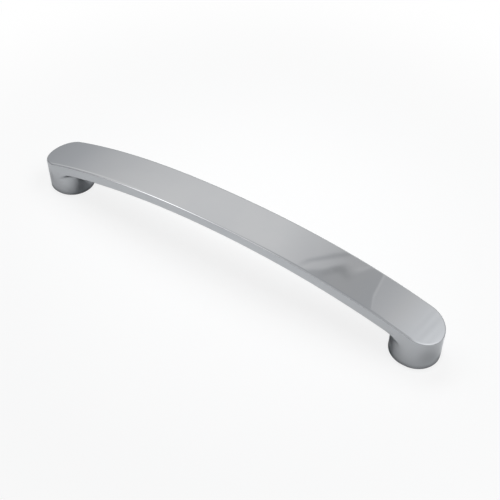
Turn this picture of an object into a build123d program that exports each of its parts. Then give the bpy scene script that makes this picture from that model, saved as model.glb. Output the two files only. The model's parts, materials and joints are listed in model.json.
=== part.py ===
from build123d import *
from math import radians, tan
import os

# Bow handle for a drawer or cupboard door, cast in one piece and plated bright.
# Millimetres. X runs along the handle and Z points away from the door. The
# origin lies on the door face, midway between the two fixing screws.

# Plan
hole_spacing = 160.0  # between the two fixing screws
width = 17.5  # of the bow, and of the feet, which are flush with its sides
foot_flat = 1.0  # straight sides between the round ends of each oval foot

# Side elevation
crown_height = 25.5  # from the door face to the top of the bow at mid length
tip_height = 12.5  # from the door face to the top of the bow at its tips
tip_slope = 19.0  # degrees by which the top falls away at each tip
crown_thickness = 4.25  # of the bow at mid length
foot_height = 10.5  # from the door face to the bow's underside over a screw
under_slope = 16.0  # degrees by which the underside falls over a screw

# Edges
top_radius = 0.8  # polished edge round the top face
root_radius = 3.0  # cast corner where the underside runs into each foot
edge_break = 0.4  # off the bow's lower edges, between the cast corners
base_chamfer = 0.3  # round the base of each foot

# Fixing holes, tapped M4 from the door side
tapping_drill = 3.3  # diameter
drill_depth = 11.0  # from the door face to the shoulder of the drill point
drill_point = 118.0  # degrees
mouth_diameter = 4.6
mouth_angle = 90.0  # degrees

# Worked out
screw_x = hole_spacing / 2
tip_x = screw_x + (foot_flat + width) / 2
point_depth = tapping_drill / 2 / tan(radians(drill_point / 2))
overrun = 1.0  # by which a cutting shape passes the metal that it trims
front = Plane.XZ.offset(width / 2 + overrun)
cut_depth = width + 2 * overrun
gap_reach = root_radius + overrun  # of the gap's shape past the handle's plan outline
gap_front = Plane.XZ.offset(width / 2 + gap_reach)


def bow_line(end_x, end_height, mid_height, slope):
    """A smooth arched line across the handle, with the given fall at each end."""
    fall = tan(radians(slope))
    return Spline(
        (-end_x, end_height),
        (0, mid_height),
        (end_x, end_height),
        tangents=[(1, fall), (1, -fall)],
    )


def under_the_bow():
    """The outline of all that lies under the bow, which runs straight on past the screws."""
    reach = tip_x + gap_reach
    end_height = foot_height - (reach - screw_x) * tan(radians(under_slope))
    underside = bow_line(
        screw_x, foot_height, crown_height - crown_thickness, under_slope
    )
    Polyline(
        underside @ 0,
        (-reach, end_height),
        (-reach, -overrun),
        (reach, -overrun),
        (reach, end_height),
        underside @ 1,
    )


with BuildPart() as handle:
    # A blank with the handle's plan outline and round ends
    with BuildSketch() as plan:
        SlotCenterToCenter(hole_spacing + foot_flat, width)
    extrude(amount=crown_height)

    # The gap under the bow. Two oval feet, flush with the sides and the round ends,
    # are left standing in it, with a cast corner round the top of each.
    with BuildPart(mode=Mode.SUBTRACT) as finger_gap:
        with BuildSketch(gap_front):
            with BuildLine():
                under_the_bow()
            make_face()
        extrude(amount=-(width + 2 * gap_reach))
        with BuildSketch(Plane.XY.offset(-overrun)):
            with Locations((-screw_x, 0), (screw_x, 0)):
                SlotCenterToCenter(foot_flat, width)
        extrude(amount=crown_height, mode=Mode.SUBTRACT)
        rims = finger_gap.edges(Select.LAST).filter_by(Axis.Z, reverse=True)
        fillet(rims.filter_by(lambda rim: rim.center().Z > 0), radius=root_radius)

    # Broken lower edges, which stop at the cast corners
    for side in (-1, 1):
        with BuildPart(mode=Mode.SUBTRACT):
            with BuildSketch(Plane.XZ.offset(side * (width / 2 - edge_break))):
                with BuildLine():
                    under_the_bow()
                make_face()
            extrude(amount=overrun, dir=(0, -side, 1))
            with BuildSketch(Plane.XY.offset(-overrun)):
                with Locations((-screw_x, 0), (screw_x, 0)):
                    SlotCenterToCenter(foot_flat, width + 2 * root_radius)
            extrude(amount=crown_height, mode=Mode.SUBTRACT)

    # The arched top trims the blank and the feet together
    with BuildSketch(front) as above_the_bow:
        with BuildLine():
            arch = bow_line(tip_x, tip_height, crown_height, tip_slope)
            Polyline(
                arch @ 0,
                (-tip_x, crown_height + overrun),
                (tip_x, crown_height + overrun),
                arch @ 1,
            )
        make_face()
    extrude(amount=-cut_depth, mode=Mode.SUBTRACT)

    # Polished edge round the top face
    top_face = handle.faces().filter_by(GeomType.EXTRUSION).sort_by(Axis.Z)[-1]
    fillet(top_face.edges(), radius=top_radius)

    # Broken edge round each foot's base
    base_faces = handle.faces().group_by(Axis.Z)[0]
    chamfer(base_faces.edges(), length=base_chamfer)

    # Blind tapping holes with a countersunk mouth and a drill point
    with Locations(*[Plane((x, 0, 0), z_dir=(0, 0, -1)) for x in (-screw_x, screw_x)]):
        CounterSinkHole(tapping_drill / 2, mouth_diameter / 2, drill_depth, mouth_angle)
    with Locations((-screw_x, 0, drill_depth), (screw_x, 0, drill_depth)):
        Cone(
            tapping_drill / 2,
            0,
            point_depth,
            align=(Align.CENTER, Align.CENTER, Align.MIN),
            mode=Mode.SUBTRACT,
        )
handle.part.label = "handle"

os.makedirs("parts", exist_ok=True)
export_step(handle.part, "parts/handle.step")
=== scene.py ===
"""Bright-plated bow handle: a smooth skin over the CAD solid, its plating, and a plain studio."""

import json
import math

import bpy
import numpy as np
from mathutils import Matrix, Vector


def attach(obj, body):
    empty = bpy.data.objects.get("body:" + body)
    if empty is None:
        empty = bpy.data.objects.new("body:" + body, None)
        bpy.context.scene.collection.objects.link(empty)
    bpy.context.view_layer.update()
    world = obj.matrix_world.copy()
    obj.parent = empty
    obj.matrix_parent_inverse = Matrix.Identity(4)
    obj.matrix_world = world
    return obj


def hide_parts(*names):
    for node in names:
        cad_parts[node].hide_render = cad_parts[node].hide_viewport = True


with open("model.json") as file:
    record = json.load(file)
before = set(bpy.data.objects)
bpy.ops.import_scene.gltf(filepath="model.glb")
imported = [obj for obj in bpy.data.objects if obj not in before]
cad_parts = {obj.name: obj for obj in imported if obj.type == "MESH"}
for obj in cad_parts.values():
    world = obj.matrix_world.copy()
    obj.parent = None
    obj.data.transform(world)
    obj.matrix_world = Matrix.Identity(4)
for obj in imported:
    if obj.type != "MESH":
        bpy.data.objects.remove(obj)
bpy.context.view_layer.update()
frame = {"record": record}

# ---------------------------------------------------------------------------
# Sizes, in millimetres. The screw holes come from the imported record.
# ---------------------------------------------------------------------------
METRE = 1000.0
mounts = {mount["name"]: mount for mount in frame["record"]["mounts"]}
screw_hole = mounts["screw_hole_right"]

SCREW_X = screw_hole["pos_m"][0] * METRE
BORE_R = screw_hole["dims"]["r_mm"]
WIDTH = 17.5
HALF = WIDTH / 2  # also the radius of each round end
FOOT_FLAT = 1.0  # straight sides of each oval foot
OUTER_X = SCREW_X + FOOT_FLAT / 2  # centre of the round end
INNER_X = SCREW_X - FOOT_FLAT / 2  # centre of the foot's inner side
TIP_X = OUTER_X + HALF

# Heights are above the door, slopes are in degrees below level, and a reach is the length
# of an arch's Bezier handle at its end
CROWN = 25.5
TIP_HEIGHT, TIP_SLOPE, TIP_REACH = 12.5, 19.0, 30.223
UNDER_CROWN = 21.25
FOOT_HEIGHT, UNDER_SLOPE, UNDER_REACH = 10.5, 16.0, 27.353

TOP_R = 0.8  # polished edge round the top face
EDGE_R = 0.5  # lower edge of the bow
ROOT_R = 3.0  # cast corner between the underside and each foot
CHAMFER = 0.3  # broken edge of each foot's base

MOUTH_R = 2.3
DRILL_DEPTH = 11.0
DRILL_POINT = 118.0  # degrees
THREAD_PITCH = 0.7
THREAD_DEPTH = 0.32
THREAD_END = 9.6

# ---------------------------------------------------------------------------
# How finely the skin is divided
# ---------------------------------------------------------------------------
ARCH_SAMPLES = 4001  # points that each arched line is read from
FLAT_STEPS = 14  # across half of the underside, before its rounded edge
ALONG_STEPS = 30  # along half of the bow, up to the cast corner
EDGE_STEPS = 8  # round each rounded edge
ROOT_STEPS = 16  # down the cast corner
END_STEPS = 24  # round a quarter of the handle's round end
FACE_STEPS = 8  # across half of the top face
UP_ROWS, LOW_ROWS = 4, 5  # up a wall, above and below the foot of the cast corner
BASE_STEPS = 4  # across a base, from its edge to the hole
THREAD_STEPS = 10  # along one pitch of the thread
CONE_STEPS = 4  # down the drill point

TINY = 1e-9  # keeps a division by zero away


# ---------------------------------------------------------------------------
# The bow's two arched lines
# ---------------------------------------------------------------------------
class Arch:
    """One arched line of the bow, from mid length to its end, as height and slope at x."""

    def __init__(self, mid_height, end_x, end_height, slope, reach):
        fall = math.radians(slope)
        near_end = (
            end_x - reach * math.cos(fall),
            end_height + reach * math.sin(fall),
        )
        pole = np.array(
            [(0.0, mid_height), (near_end[0] / 2, mid_height), near_end, (end_x, end_height)]
        )
        t = np.linspace(0.0, 1.0, ARCH_SAMPLES)[:, None]
        line = (
            (1 - t) ** 3 * pole[0]
            + 3 * t * (1 - t) ** 2 * pole[1]
            + 3 * t**2 * (1 - t) * pole[2]
            + t**3 * pole[3]
        )
        speed = (
            3 * (1 - t) ** 2 * (pole[1] - pole[0])
            + 6 * t * (1 - t) * (pole[2] - pole[1])
            + 3 * t**2 * (pole[3] - pole[2])
        )
        self.x, self.z = line.T
        self.grade = speed[:, 1] / speed[:, 0]

    def height(self, x):
        return np.interp(x, self.x, self.z)

    def slope(self, x):
        return np.interp(x, self.x, self.grade)


top = Arch(CROWN, TIP_X, TIP_HEIGHT, TIP_SLOPE, TIP_REACH)
under = Arch(UNDER_CROWN, SCREW_X, FOOT_HEIGHT, UNDER_SLOPE, UNDER_REACH)


def stack(*parts):
    """x, y and z arrays of any matching shapes as one array of points."""
    return np.stack(np.broadcast_arrays(*parts), axis=-1).astype(float)


def unit(v):
    return v / np.maximum(np.linalg.norm(v, axis=-1, keepdims=True), TINY)


# ---------------------------------------------------------------------------
# The skin: patches of quads with the true normal at every corner
# ---------------------------------------------------------------------------
POLISHED, BASE, THREADED = range(3)
ALL_FOUR = ((1, 1), (-1, 1), (1, -1), (-1, -1))  # a patch and its three mirror images


class Skin:
    """Patches that share their border points, welded into one closed mesh."""

    WELD = 1e-4  # mm
    SHIFT = 0.37  # of a weld step, which keeps round numbers off its borders

    def __init__(self):
        self.corners, self.normals, self.finish = [], [], []

    def add(self, points, normals, finish=POLISHED, mirrors=((1, 1),)):
        """A grid of points and normals, copied for each pair of signs of x and y."""
        for sign_x, sign_y in mirrors:
            sign = np.array([sign_x, sign_y, 1.0])
            p, n = points * sign, np.broadcast_to(normals, points.shape) * sign
            quads = self._quads(p), self._quads(n)
            a, b, c, d = np.moveaxis(quads[0], 1, 0)
            facing = np.einsum("ij,ij->i", np.cross(c - a, d - b), quads[1].sum(axis=1))
            turned = (facing < 0)[:, None, None]
            quads = [np.where(turned, q[:, ::-1], q) for q in quads]
            self.corners.append(quads[0])
            self.normals.append(quads[1])
            self.finish.append(np.full(len(quads[0]), finish))

    @staticmethod
    def _quads(grid):
        return np.stack(
            [grid[:-1, :-1], grid[:-1, 1:], grid[1:, 1:], grid[1:, :-1]], axis=2
        ).reshape(-1, 4, 3)

    def build(self, name):
        corners = np.concatenate(self.corners).reshape(-1, 3)
        normals = np.concatenate(self.normals).reshape(-1, 3)
        finish = np.concatenate(self.finish)
        cells = np.floor(corners / self.WELD + self.SHIFT).astype(np.int64)
        _, first, index = np.unique(
            cells, axis=0, return_index=True, return_inverse=True
        )
        index = index.reshape(-1, 4)
        faces, loop_normals, materials = [], [], []
        for number, face in enumerate(index):
            kept = [k for k in range(4) if face[k] != face[k - 1]]
            if len(kept) < 3:
                continue
            faces.append([int(face[k]) for k in kept])
            loop_normals.extend(normals[4 * number + k] for k in kept)
            materials.append(int(finish[number]))
        mesh = bpy.data.meshes.new(name)
        mesh.from_pydata((corners[first] / METRE).tolist(), [], faces)
        mesh.polygons.foreach_set("material_index", materials)
        mesh.polygons.foreach_set("use_smooth", [True] * len(faces))
        mesh.update()
        mesh.normals_split_custom_set([tuple(n) for n in loop_normals])
        piece = bpy.data.objects.new(name, mesh)
        bpy.context.scene.collection.objects.link(piece)
        return piece


skin = Skin()
edge_turn = np.linspace(0.0, math.pi / 2, EDGE_STEPS + 1)
root_turn = np.linspace(0.0, math.pi / 2, ROOT_STEPS + 1)


def underside_sheet():
    """Underside of the bow, from its flank's lower edge down into the foot, as a grid."""
    straightness = 6  # the higher it is, the nearer to the foot its columns start to bend
    # Rows run along the bow: first across its flat, then round its lower edge
    flat_half = HALF - EDGE_R
    last = math.asin(flat_half / HALF)
    flat_y = HALF * np.sin(np.linspace(0.0, last, FLAT_STEPS + 1))[:-1]
    row_turn = np.concatenate([np.zeros(len(flat_y)), edge_turn])
    row_y = np.concatenate([flat_y, flat_half + EDGE_R * np.sin(edge_turn)])
    # Columns run across it: first out to the foot, then down the cast corner
    along = np.linspace(0.0, 1.0, ALONG_STEPS + 1)
    reach = INNER_X - np.sqrt((HALF + ROOT_R) ** 2 - row_y**2)
    bend = along[:, None] ** straightness
    plain_x = along[:, None] * reach[0] + bend * (reach - reach[0])
    circle = HALF + ROOT_R * (1 - np.sin(root_turn[1:]))
    corner_x = INNER_X - np.sqrt(
        np.maximum(circle[:, None] ** 2 - row_y[None, :] ** 2, 0.0)
    )
    x = np.concatenate([plain_x, corner_x])
    y = np.broadcast_to(row_y, x.shape)
    column_turn = np.concatenate([np.zeros(len(along)), root_turn[1:]])
    v, c = row_turn[None, :], column_turn[:, None]
    # The lower edge's rounding runs out where the cast corner closes in on the flank
    edge_r = EDGE_R * np.cos(c)
    z = under.height(x) + edge_r * (1 - np.cos(v)) - ROOT_R * (1 - np.cos(c))
    radius = np.hypot(INNER_X - x, y)
    out_x, out_y = -(INNER_X - x) / radius, y / radius
    grade = under.slope(x)
    lean = np.sin(v) * np.cos(c)
    side = lean / np.maximum(np.hypot(np.cos(v), lean), TINY)
    rest = np.sqrt(1 - side**2)
    normals = stack(
        grade * np.cos(c) * rest + np.sin(c) * rest * out_x,
        side + np.sin(c) * rest * out_y,
        -np.cos(c) * rest,
    )
    normals[-1, -1] = (0.0, 1.0, 0.0)
    return stack(x, y, z), unit(normals)


def wall(xy, out, z_from, z_to, rows):
    """An upright wall along the line xy, as a grid with one row of points per height."""
    share = np.linspace(0.0, 1.0, rows + 1)[:, None]
    z = z_from + share * (z_to - z_from)
    return stack(xy[:, 0], xy[:, 1], z), stack(out[:, 0], out[:, 1], 0.0)


sheet, sheet_normals = underside_sheet()
skin.add(sheet, sheet_normals, mirrors=ALL_FOUR)

# Inner wall of the foot, below the cast corner
corner_line = sheet[-1]
inner_xy = corner_line[:, :2]
inner_out = unit(inner_xy - np.array([INNER_X, 0.0]))
inner_out[-1] = (0.0, 1.0)
skin.add(
    *wall(inner_xy, inner_out, corner_line[:, 2], CHAMFER, LOW_ROWS), mirrors=ALL_FOUR
)

# Plan outline from mid length, along the flank, round the end of the handle
flank_xy = sheet[:, -1, :2]
end_turn = np.linspace(math.pi / 2, 0.0, END_STEPS + 1)
end_out = stack(np.cos(end_turn), np.sin(end_turn))
end_xy = np.array([OUTER_X, 0.0]) + HALF * end_out
outline = np.concatenate([flank_xy, end_xy])
outline_out = np.concatenate([np.tile([0.0, 1.0], (len(flank_xy), 1)), end_out])
hub = len(flank_xy)  # the first point of the round end
seam = hub - 1  # where the flank meets the foot

# Polished edge: a ball that rolls along the wall, under the top face
ball_xy = outline - TOP_R * outline_out
ball_line = top.x + TOP_R * top.grade / np.hypot(1.0, top.grade)
touch_x = np.interp(ball_xy[:, 0], ball_line, top.x)
touch_out = unit(stack(-top.slope(touch_x), 0.0, 1.0))
ball = stack(
    ball_xy[:, 0], ball_xy[:, 1], top.height(touch_x) - TOP_R * touch_out[:, 2]
)
wall_out = stack(outline_out[:, 0], outline_out[:, 1], 0.0)
spread = np.arccos(np.clip(np.einsum("ij,ij->i", touch_out, wall_out), -1.0, 1.0))
share = np.linspace(0.0, 1.0, EDGE_STEPS + 1)[:, None, None]
angle = spread[None, :, None]
edge_out = (
    np.sin((1 - share) * angle) * touch_out + np.sin(share * angle) * wall_out
) / np.sin(angle)
skin.add(ball + TOP_R * edge_out, edge_out, mirrors=ALL_FOUR)

# Flank, and the outer wall of the foot in two bands
seam_z = corner_line[-1, 2]
rim_z = ball[:, 2]
outer_xy, outer_out = outline[seam:], outline_out[seam:]
skin.add(
    *wall(flank_xy, outline_out[:hub], sheet[:, -1, 2], rim_z[:hub], UP_ROWS),
    mirrors=ALL_FOUR,
)
skin.add(*wall(outer_xy, outer_out, seam_z, rim_z[seam:], UP_ROWS), mirrors=ALL_FOUR)
skin.add(*wall(outer_xy, outer_out, seam_z, CHAMFER, LOW_ROWS), mirrors=ALL_FOUR)

# Top face: straight lines across it, and rays round its ends
across = np.sin(np.linspace(0.0, math.pi / 2, FACE_STEPS + 1))[:, None]
rim = ball + TOP_R * touch_out
hub_x = rim[hub, 0]
face_x = np.where(rim[:, 0] > hub_x, hub_x + across * (rim[:, 0] - hub_x), rim[:, 0])
face_y = across * rim[:, 1]
skin.add(
    stack(face_x, face_y, top.height(face_x)),
    unit(stack(-top.slope(face_x), 0.0 * face_y, 1.0)),
    mirrors=ALL_FOUR,
)

# Broken edge and flat base of the foot
ring_xy = np.concatenate([inner_xy, outer_xy[1:]])
ring_out = np.concatenate([inner_out, outer_out[1:]])
base_xy = ring_xy - CHAMFER * ring_out
skin.add(
    np.stack(
        [
            stack(ring_xy[:, 0], ring_xy[:, 1], CHAMFER),
            stack(base_xy[:, 0], base_xy[:, 1], 0.0),
        ]
    ),
    unit(stack(ring_out[:, 0], ring_out[:, 1], -1.0)),
    mirrors=ALL_FOUR,
)
bearing = np.arctan2(base_xy[:, 1], base_xy[:, 0] - SCREW_X)
mouth_xy = np.array([SCREW_X, 0.0]) + MOUTH_R * stack(np.cos(bearing), np.sin(bearing))
inward = np.linspace(0.0, 1.0, BASE_STEPS + 1)[:, None, None]
base_grid = base_xy + inward * (mouth_xy - base_xy)
skin.add(
    stack(base_grid[..., 0], base_grid[..., 1], 0.0),
    np.array([0.0, 0.0, -1.0]),
    finish=BASE,
    mirrors=ALL_FOUR,
)


def thread_groove(z, bearings, shoulder):
    """How deep the thread is cut at each height and bearing, from 0 to 1."""
    # A right-handed V whose crest and root are cut off flat
    swing, crest = 1.25, 0.12
    phase = z / THREAD_PITCH - bearings[None, :] / (2 * math.pi)
    wave = 0.5 - 0.5 * np.cos(2 * math.pi * phase)
    groove = np.clip(swing * wave - crest, 0.0, 1.0)
    # It starts in the mouth and runs out before the drill point
    start = np.clip((z - shoulder) / THREAD_PITCH, 0.0, 1.0)
    stop = np.clip((THREAD_END - z) / THREAD_PITCH, 0.0, 1.0)
    return groove * start * stop


def tapped_hole(centre_x, bearings):
    """Countersunk mouth, tapped wall and drill point of one blind hole."""
    cos, sin = np.cos(bearings), np.sin(bearings)

    def ring(r, z):
        return stack(centre_x + r * cos, r * sin, z)

    shoulder = MOUTH_R - BORE_R
    skin.add(
        np.stack([ring(MOUTH_R, 0.0), ring(BORE_R, shoulder)]),
        unit(stack(-cos, -sin, -1.0)),
        finish=THREADED,
    )
    z = np.arange(shoulder, DRILL_DEPTH, THREAD_PITCH / THREAD_STEPS)[:, None]
    z = np.concatenate([z, [[DRILL_DEPTH]]])
    r = BORE_R + THREAD_DEPTH * thread_groove(z, bearings, shoulder)
    turn = np.gradient(r, axis=1) / np.gradient(np.unwrap(bearings))[None, :] / r
    rise = np.gradient(r, axis=0) / np.gradient(z, axis=0)
    normals = stack(-cos - turn * sin, -sin + turn * cos, rise)
    normals[:, 0] = normals[:, -1]
    skin.add(ring(r, z), unit(normals), finish=THREADED)
    fall = math.tan(math.radians(DRILL_POINT / 2))
    shrink = np.linspace(1.0, 0.0, CONE_STEPS + 1)[:, None]
    depth = DRILL_DEPTH + (1 - shrink) * BORE_R / fall
    skin.add(
        ring(BORE_R * shrink, depth), unit(stack(-cos, -sin, -fall)), finish=THREADED
    )


full_turn = np.concatenate([-bearing, bearing[-2::-1]])
tapped_hole(SCREW_X, full_turn)
tapped_hole(-SCREW_X, math.pi - full_turn)

handle = skin.build("plated_handle")


# ---------------------------------------------------------------------------
# Node trees
# ---------------------------------------------------------------------------
class Tree:
    """Short calls for building a node tree. A value is a number or a node's socket."""

    def __init__(self, tree):
        self.tree = tree
        self.tree.nodes.clear()

    def node(self, kind, inputs=(), **settings):
        made = self.tree.nodes.new(kind)
        for name, value in settings.items():
            setattr(made, name, value)
        for name, value in dict(inputs).items():
            self.put(made.inputs[name], value)
        return made

    def put(self, socket, value):
        if isinstance(value, bpy.types.NodeSocket):
            self.tree.links.new(value, socket)
        else:
            socket.default_value = value

    def math(self, operation, *values):
        return self.node(
            "ShaderNodeMath", enumerate(values), operation=operation
        ).outputs[0]

    def add(self, *values):
        total = values[0]
        for value in values[1:]:
            total = self.math("ADD", total, value)
        return total

    def times(self, *values):
        total = values[0]
        for value in values[1:]:
            total = self.math("MULTIPLY", total, value)
        return total

    def less(self, a, b):
        return self.math("SUBTRACT", a, b)

    def size(self, value):
        return self.math("ABSOLUTE", value)

    def rise(self, value, start, end, low=0.0, high=1.0):
        """A smooth step from low to high as value goes from start to end."""
        inputs = {
            "Value": value, "From Min": start, "From Max": end, "To Min": low, "To Max": high,
        }
        return self.node(
            "ShaderNodeMapRange", inputs, interpolation_type="SMOOTHSTEP"
        ).outputs["Result"]

    def bump(self, value, centre, half_width):
        """1 where value is at centre, falling smoothly to 0 at half_width from it."""
        return self.rise(self.size(self.less(value, centre)), half_width, 0.0)

    def band(self, value, start, full_from, full_to, end):
        """1 from full_from to full_to, falling smoothly to 0 at start and at end."""
        return self.times(self.rise(value, start, full_from), self.rise(value, end, full_to))

    def _mix(self, data_type, sockets, share, a, b):
        made = self.node("ShaderNodeMix", data_type=data_type)
        for number, value in zip(sockets, (share, a, b)):
            self.put(made.inputs[number], value)
        return made

    def mix(self, share, a, b):
        """A number that goes from a to b as share goes from 0 to 1."""
        return self._mix("FLOAT", (0, 2, 3), share, a, b).outputs[0]

    def blend(self, share, a, b):
        """A colour that goes from a to b as share goes from 0 to 1."""
        return self._mix("RGBA", (0, 6, 7), share, a, b).outputs[2]

    def noise(self, vector, scale, detail=2.0, roughness=0.5):
        inputs = {"Vector": vector, "Scale": scale, "Detail": detail, "Roughness": roughness}
        return self.node("ShaderNodeTexNoise", inputs).outputs["Fac"]


# ---------------------------------------------------------------------------
# Materials
# ---------------------------------------------------------------------------
def new_material(name):
    material = bpy.data.materials.new(name)
    material.use_nodes = True
    return material, Tree(material.node_tree)


def stretched(t, along=1.0, across=1.0, up=1.0):
    """The object's own coordinates, drawn out along each axis by these shares."""
    place = t.node("ShaderNodeTexCoord").outputs["Object"]
    return t.node(
        "ShaderNodeMapping", {"Vector": place, "Scale": (along, across, up)}
    ).outputs["Vector"]


def finish_metal(t, colour, roughness, height, depth):
    """A bare metal whose surface rises by up to depth metres where height is 1."""
    relief = t.node(
        "ShaderNodeBump", {"Height": height, "Distance": depth, "Strength": 1.0}
    ).outputs["Normal"]
    shader = t.node(
        "ShaderNodeBsdfPrincipled",
        {"Base Color": colour, "Metallic": 1.0, "Roughness": roughness, "Normal": relief},
    )
    t.node("ShaderNodeOutputMaterial", {"Surface": shader.outputs[0]})


def bright_chrome():
    """Polished plate: faint clouds, hairlines along the bow and a trace of casting ripple."""
    material, t = new_material("bright_chrome")
    dark, pale = (0.508, 0.516, 0.529, 1.0), (0.522, 0.528, 0.539, 1.0)
    cloud = t.noise(stretched(t), scale=45.0, detail=3.0)
    hairline = t.noise(stretched(t, along=0.03), scale=5200.0, roughness=0.6)
    smudge = t.noise(stretched(t), scale=130.0, detail=4.0, roughness=0.6)
    ripple = t.noise(stretched(t, along=0.6), scale=110.0, detail=1.0)
    clean, smudged, scratched = 0.022, 0.035, 0.05  # roughness, and what each mark adds
    finish_metal(
        t,
        colour=t.blend(t.rise(cloud, 0.35, 0.65), dark, pale),
        roughness=t.add(
            clean,
            t.rise(smudge, 0.50, 0.74, high=smudged),
            t.rise(hairline, 0.58, 0.80, high=scratched),
        ),
        height=t.add(ripple, t.times(0.018, hairline)),
        depth=0.000004,
    )
    return material


def satin_base():
    """Linished foot: straight marks across it, under a thin plate."""
    material, t = new_material("chrome_base")
    dark, pale = (0.455, 0.462, 0.472, 1.0), (0.52, 0.526, 0.534, 1.0)
    lines = t.noise(stretched(t, across=0.05), scale=2600.0, detail=3.0, roughness=0.7)
    cloud = t.noise(stretched(t), scale=260.0, detail=3.0)
    finish_metal(
        t,
        colour=t.blend(lines, dark, pale),
        roughness=t.add(0.20, t.times(0.16, lines), t.times(0.10, cloud)),
        height=lines,
        depth=0.00001,
    )
    return material


def tapped_zinc():
    """Cut thread: bare zinc, duller than the plate, with tool marks round it."""
    material, t = new_material("tapped_zinc")
    dark, pale = (0.33, 0.335, 0.345, 1.0), (0.43, 0.43, 0.43, 1.0)
    marks = t.noise(stretched(t, along=0.3, across=0.3), scale=9000.0)
    cloud = t.noise(stretched(t), scale=700.0)
    finish_metal(
        t,
        colour=t.blend(cloud, dark, pale),
        roughness=t.add(0.34, t.times(0.2, marks)),
        height=marks,
        depth=0.000008,
    )
    return material


# In the order of POLISHED, BASE, THREADED
for material in (bright_chrome(), satin_base(), tapped_zinc()):
    handle.data.materials.append(material)

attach(handle, "root")
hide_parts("handle")

# ---------------------------------------------------------------------------
# Light: a pale cloth tent, with lamps behind its cloth and a grey slot overhead.
# The slot runs from the back, where folds close it, over the top to the front.
#
# turn is degrees round from the back, positive to the right, and up is degrees up.
# x, y and z are the direction itself. A tone of 1 is white.
# ---------------------------------------------------------------------------
WHITE = (1.0, 1.0, 1.0, 1.0)

# Lamps behind the cloth: the band of turn and of up that each lights, and by how much.
# A band starts, is full from, is full to, and ends.
GLOWS = {
    "right": ((11.0, 70.0, 105.0, 168.0), (-8.0, 4.0, 30.0, 72.0), 0.45),
    "right_top": ((24.0, 29.0, 36.0, 48.0), (34.0, 46.0, 46.0, 58.0), 0.10),
    "right_middle": ((67.0, 93.0, 93.0, 119.0), (9.0, 33.0, 33.0, 57.0), 0.16),
    "front_left": ((-157.5, -146.0, -146.0, -134.5), (-15.0, 9.0, 9.0, 33.0), 2.7),
    "front": ((-166.0, -159.0, -159.0, -152.0), (-12.0, 0.0, 12.0, 30.0), 0.65),
}


def tent_wall(t, turn, up):
    """Tone of the tent: greyer towards the ground at the back and brighter there in front."""
    ground_strip = t.times(t.rise(up, 8.8, 7.2, high=0.2), t.rise(turn, -45.0, -20.0))
    back = t.add(t.rise(up, 4.0, 42.0, low=0.53), ground_strip)
    front = t.rise(up, 75.0, 15.0, low=0.60, high=0.95)
    wall = t.mix(t.rise(t.size(turn), 122.0, 142.0), back, front)
    for turn_band, up_band, tone in GLOWS.values():
        wall = t.add(wall, t.times(t.band(turn, *turn_band), t.band(up, *up_band), tone))
    return t.add(wall, pleats(t, turn, up))


def pleats(t, turn, up):
    """Fine upright pleats of the cloth, at the back on the right."""
    first, width, depth = 23.2, 2.4, 0.035
    wave = t.math("COSINE", t.times(t.less(turn, first), 2 * math.pi / width))
    wave = t.times(wave, t.band(turn, 19.0, 22.5, 27.0, 30.0))
    return t.times(wave, t.bump(up, 46.6, 2.6), depth)


def fold_line(t, turn):
    """How far up the slot's back end is folded shut."""
    return t.add(
        t.rise(turn, -12.5, -6.5, low=51.62, high=50.90),
        t.times(t.bump(turn, -3.4, 3.5), 0.28),
        t.rise(turn, -2.5, 2.5, high=-0.9),
    )


def seam_line(t, up):
    """How far round to the right the slot's seam is, which leans out as it rises."""
    return t.add(t.times(1.15, t.less(up, 46.2)), t.rise(up, 51.4, 52.4, high=2.4))


def slot_opening(t, x, y, turn, above_fold, past_seam):
    """1 in the slot: crisp at its back end, and with soft edges from there to the front."""
    crisp = t.times(
        t.rise(above_fold, -0.22, 0.22),
        t.rise(turn, -18.0, -15.0),
        t.rise(past_seam, 0.5, -0.5),
    )
    soft = t.rise(t.size(x), 0.40, 0.05)
    return t.mix(t.rise(y, 0.5, 0.2), crisp, soft)


def slot_tone(t, y, turn, up, above_fold):
    """Tone of the slot: deepest just above the folds and overhead."""
    back, core_depth = 0.60, 0.115
    core = t.times(t.bump(above_fold, 0.42, 0.55), t.bump(turn, -7.0, 6.0), t.rise(y, 0.2, 0.4))
    back_half = t.less(back, t.times(core, core_depth))
    front_half = t.rise(up, 0.0, 80.0, low=0.80, high=0.50)
    return t.mix(t.rise(y, -0.1, 0.1), front_half, back_half)


def left_cloth(t, turn, up, above_fold):
    """Tone of the cloth left of the slot, with a shaded streak and a lit lip at the folds."""
    # The streak lies along a line that falls a little to the right
    streak_up, streak_lean = 49.55, 0.083
    streak = t.bump(t.add(up, t.times(streak_lean, turn)), streak_up, 0.42)
    streak = t.times(streak, t.band(turn, -18.5, -15.5, -9.0, -5.0))
    lip = t.times(t.bump(above_fold, -0.3, 0.3), t.bump(turn, -1.5, 4.0))
    plain = t.rise(turn, -16.0, -4.0, low=0.84, high=0.675)
    return t.add(plain, t.times(streak, -0.17), t.times(lip, 0.06))


def tent_tone(t, x, y, turn, up, beside):
    """Tone of the whole tent, with the slot and the greyer cloth beside its back end."""
    right_cloth, seam_tone = 0.70, 0.76
    above_fold = t.less(up, fold_line(t, turn))
    past_seam = t.less(turn, seam_line(t, up))
    left_of = t.times(beside, t.rise(turn, -27.0, -13.0), t.rise(past_seam, 0.1, -0.1))
    right_of = t.times(beside, t.rise(past_seam, -0.1, 0.1), t.rise(turn, 27.0, 5.0))
    slot = slot_opening(t, x, y, turn, above_fold, past_seam)
    seam_strip = t.times(t.bump(past_seam, 0.0, 0.8), beside)

    tone = t.mix(left_of, tent_wall(t, turn, up), left_cloth(t, turn, up, above_fold))
    tone = t.mix(right_of, tone, right_cloth)
    tone = t.mix(slot, tone, slot_tone(t, y, turn, up, above_fold))
    return t.mix(seam_strip, tone, seam_tone)


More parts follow.
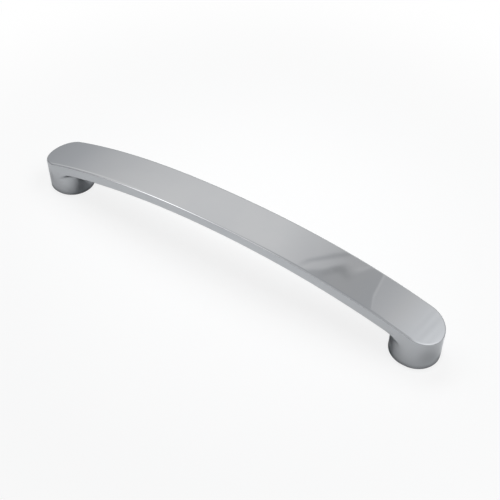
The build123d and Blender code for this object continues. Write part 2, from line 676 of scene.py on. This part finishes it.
def tent_colour(t, turn, tone, beside):
    """Cool where the cloth is in shade, but for the slot, and along the right."""
    cool_white = (0.97, 1.0, 1.035, 1.0)
    warm_slot = t.times(beside, t.bump(turn, -4.0, 17.0), 0.65)
    shade = t.times(t.rise(tone, 1.0, 0.45), t.less(1.0, warm_slot))
    right = t.rise(turn, 8.0, 24.0, high=0.55)
    return t.blend(t.math("MAXIMUM", shade, right), WHITE, cool_white)


def seen_directly(t, path):
    """1 for rays from the eye, also through glass."""
    return t.math("MAXIMUM", path["Is Camera Ray"], path["Is Transmission Ray"])


def studio_world():
    """The tent as metal mirrors it, plain white to the eye, and hardly a light to the floor."""
    world = bpy.data.worlds.new("studio")
    bpy.context.scene.world = world
    world.use_nodes = True
    t = Tree(world.node_tree)
    direction = t.node("ShaderNodeTexCoord").outputs["Generated"]
    x, y, z = t.node("ShaderNodeSeparateXYZ", {0: direction}).outputs
    turn = t.times(t.math("ARCTAN2", x, y), math.degrees(1.0))
    up = t.times(t.math("ARCSINE", z), math.degrees(1.0))

    beside = t.times(t.rise(y, 0.2, 0.4), t.rise(up, 40.0, 48.0))  # round the slot's back end
    tone = tent_tone(t, x, y, turn, up, beside)
    colour = tent_colour(t, turn, tone, beside)
    path = t.node("ShaderNodeLightPath").outputs
    share = t.mix(path["Is Diffuse Ray"], 1.0, 0.02)
    tent = t.node("ShaderNodeBackground", {"Color": colour, "Strength": t.times(tone, share)})
    plain = t.node("ShaderNodeBackground", {"Color": WHITE, "Strength": 1.0})
    both = t.node(
        "ShaderNodeMixShader", {0: seen_directly(t, path), 1: tent.outputs[0], 2: plain.outputs[0]}
    )
    t.node("ShaderNodeOutputWorld", {"Surface": both.outputs[0]})


def pale_floor():
    """Pale cloth with a painted contact shadow near whatever stands on it, whitened where it is
    looked at, and far out where metal mirrors it.
    """
    material, t = new_material("pale_floor")
    # The second colour is the painted contact shadow, blended into the cloth below
    cloth_colour, painted_shadow_colour = (0.85, 0.867, 0.882, 1.0), (0.30, 0.31, 0.32, 1.0)
    # Painted contact shadow: the cloth's colour darkens towards dark grey where something stands
    # close over it, as ambient occlusion finds
    open_sky = t.node(
        "ShaderNodeAmbientOcclusion", {"Distance": 0.002}, samples=6
    ).outputs["AO"]
    shaded = t.blend(t.rise(open_sky, 0.45, 1.0), painted_shadow_colour, cloth_colour)
    cloth = t.node("ShaderNodeBsdfDiffuse", {"Color": shaded})
    white = t.node("ShaderNodeEmission", {"Color": WHITE, "Strength": 1.0})

    position = t.node("ShaderNodeNewGeometry").outputs["Position"]
    away = t.node("ShaderNodeVectorMath", {0: position}, operation="LENGTH").outputs["Value"]
    path = t.node("ShaderNodeLightPath").outputs
    to_eye = t.times(seen_directly(t, path), t.rise(away, 0.08, 0.22, low=0.84))
    to_metal = t.times(path["Is Glossy Ray"], t.rise(away, 0.25, 1.2, high=0.8))
    whitened = t.math("MAXIMUM", to_eye, to_metal)
    both = t.node("ShaderNodeMixShader", {0: whitened, 1: cloth.outputs[0], 2: white.outputs[0]})
    t.node("ShaderNodeOutputMaterial", {"Surface": both.outputs[0]})
    return material


def make_floor():
    """A pale floor that fades into the white world."""
    half = 3.0
    mesh = bpy.data.meshes.new("floor")
    mesh.from_pydata(
        [(-half, -half, 0), (half, -half, 0), (half, half, 0), (-half, half, 0)],
        [],
        [(0, 1, 2, 3)],
    )
    mesh.materials.append(pale_floor())
    floor = bpy.data.objects.new("floor", mesh)
    bpy.context.scene.collection.objects.link(floor)


def outward(turn, up):
    """The direction that is turn radians round from the back and up radians up."""
    return Vector(
        (math.cos(up) * math.sin(turn), math.cos(up) * math.cos(turn), math.sin(up))
    )


def soft_lamp(name, turn, up, distance, size, power):
    """An area lamp that faces the object and that metal doesn't mirror."""
    data = bpy.data.lights.new(name, "AREA")
    data.shape, data.size, data.energy = "DISK", size, power
    lamp = bpy.data.objects.new(name, data)
    bpy.context.scene.collection.objects.link(lamp)
    out = outward(math.radians(turn), math.radians(up))
    lamp.location = out * distance
    lamp.rotation_euler = out.to_track_quat("Z", "Y").to_euler()
    lamp.visible_camera = lamp.visible_glossy = False


studio_world()
make_floor()
soft_lamp("back_softbox", turn=0.0, up=70.0, distance=0.17, size=0.09, power=0.146)
soft_lamp("left_softbox", turn=-90.0, up=60.0, distance=0.25, size=0.12, power=0.193)
soft_lamp("right_softbox", turn=90.0, up=60.0, distance=0.25, size=0.12, power=0.199)

bpy.context.scene.view_settings.view_transform = "Standard"

# ---------------------------------------------------------------------------
# Camera: degrees round from the front, positive to the right, and degrees up
# ---------------------------------------------------------------------------
AZIMUTH, ELEVATION = math.radians(34.08), math.radians(45.6)
DISTANCE = 346.13
TARGET = Vector((4.757, 8.010, 0.0))

camera_data = bpy.data.cameras.new("camera")
camera_data.sensor_width = 36.0
camera_data.lens = 63.745
camera_data.clip_start, camera_data.clip_end = 0.01, 20.0
camera = bpy.data.objects.new("camera", camera_data)
bpy.context.scene.collection.objects.link(camera)
back = outward(math.pi - AZIMUTH, ELEVATION)
camera.location = (TARGET + back * DISTANCE) / METRE
camera.rotation_euler = back.to_track_quat("Z", "Y").to_euler()
bpy.context.scene.camera = camera
